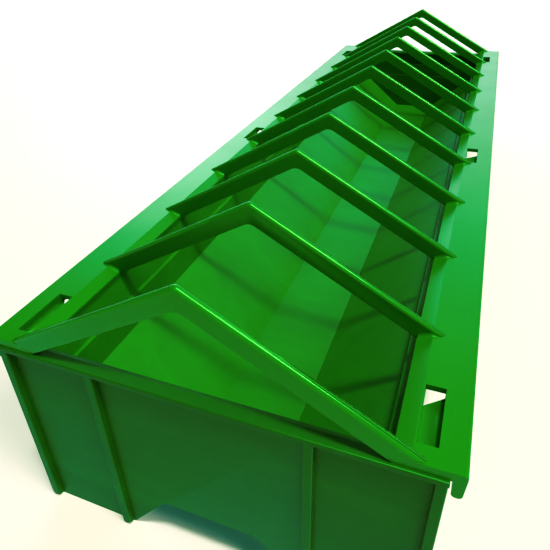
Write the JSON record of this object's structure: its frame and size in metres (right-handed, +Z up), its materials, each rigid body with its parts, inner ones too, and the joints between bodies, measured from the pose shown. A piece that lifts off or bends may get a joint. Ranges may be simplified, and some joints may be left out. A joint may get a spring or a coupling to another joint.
{
  "type": "poultry feeder",
  "caption": "Long moulded plastic feed trough on two ribbed end plates, with a clip-on lid of two side rails joined by gable-shaped bars.",
  "frame": {"origin": "centre of the whole object's footprint on the floor", "axes": "+Y along the trough from the front end plate to the rear one, +X to the right seen from the front, +Z up"},
  "size_m": [0.1586, 0.5092, 0.1231],
  "materials": {
    "trough_plastic": "satin injection-moulded polypropylene, dark green",
    "lid_plastic": "satin injection-moulded polypropylene, green"
  },
  "bodies": {
    "trough": {"trough_channel": "trough_plastic", "end_plate_front": "trough_plastic", "end_plate_rear": "trough_plastic"},
    "lid": {"rail_left": "lid_plastic", "rail_right": "lid_plastic", "bar_01": "lid_plastic", "bar_02": "lid_plastic", "bar_03": "lid_plastic", "bar_04": "lid_plastic", "bar_05": "lid_plastic", "bar_06": "lid_plastic", "bar_07": "lid_plastic", "bar_08": "lid_plastic", "bar_09": "lid_plastic", "bar_10": "lid_plastic", "bar_11": "lid_plastic"},
    "latch_front_left": {"hook_front_left": "lid_plastic"},
    "latch_front_right": {"hook_front_right": "lid_plastic"},
    "latch_middle_left": {"hook_middle_left": "lid_plastic"},
    "latch_middle_right": {"hook_middle_right": "lid_plastic"},
    "latch_rear_left": {"hook_rear_left": "lid_plastic"},
    "latch_rear_right": {"hook_rear_right": "lid_plastic"}
  },
  "joints": [
    {"name": "lid_lift", "type": "slide", "parent": "trough", "child": "lid", "axis": [0, 0, 1], "range_m": [0, 0.06]},
    {"name": "latch_flex_front_left", "type": "hinge", "parent": "lid", "child": "latch_front_left", "pos_m": [-0.0724, -0.2365, 0.0807], "axis": [0, 1, 0], "range_deg": [0, 8], "stiffness_Nm_per_rad": 0.2},
    {"name": "latch_flex_front_right", "type": "hinge", "parent": "lid", "child": "latch_front_right", "pos_m": [0.0724, -0.2365, 0.0807], "axis": [0, -1, 0], "range_deg": [0, 8], "stiffness_Nm_per_rad": 0.2},
    {"name": "latch_flex_middle_left", "type": "hinge", "parent": "lid", "child": "latch_middle_left", "pos_m": [-0.0724, -0.0382, 0.0807], "axis": [0, 1, 0], "range_deg": [0, 8], "stiffness_Nm_per_rad": 0.2},
    {"name": "latch_flex_middle_right", "type": "hinge", "parent": "lid", "child": "latch_middle_right", "pos_m": [0.0724, -0.0382, 0.0807], "axis": [0, -1, 0], "range_deg": [0, 8], "stiffness_Nm_per_rad": 0.2},
    {"name": "latch_flex_rear_left", "type": "hinge", "parent": "lid", "child": "latch_rear_left", "pos_m": [-0.0724, 0.2142, 0.0807], "axis": [0, 1, 0], "range_deg": [0, 8], "stiffness_Nm_per_rad": 0.2},
    {"name": "latch_flex_rear_right", "type": "hinge", "parent": "lid", "child": "latch_rear_right", "pos_m": [0.0724, 0.2142, 0.0807], "axis": [0, -1, 0], "range_deg": [0, 8], "stiffness_Nm_per_rad": 0.2}
  ]
}
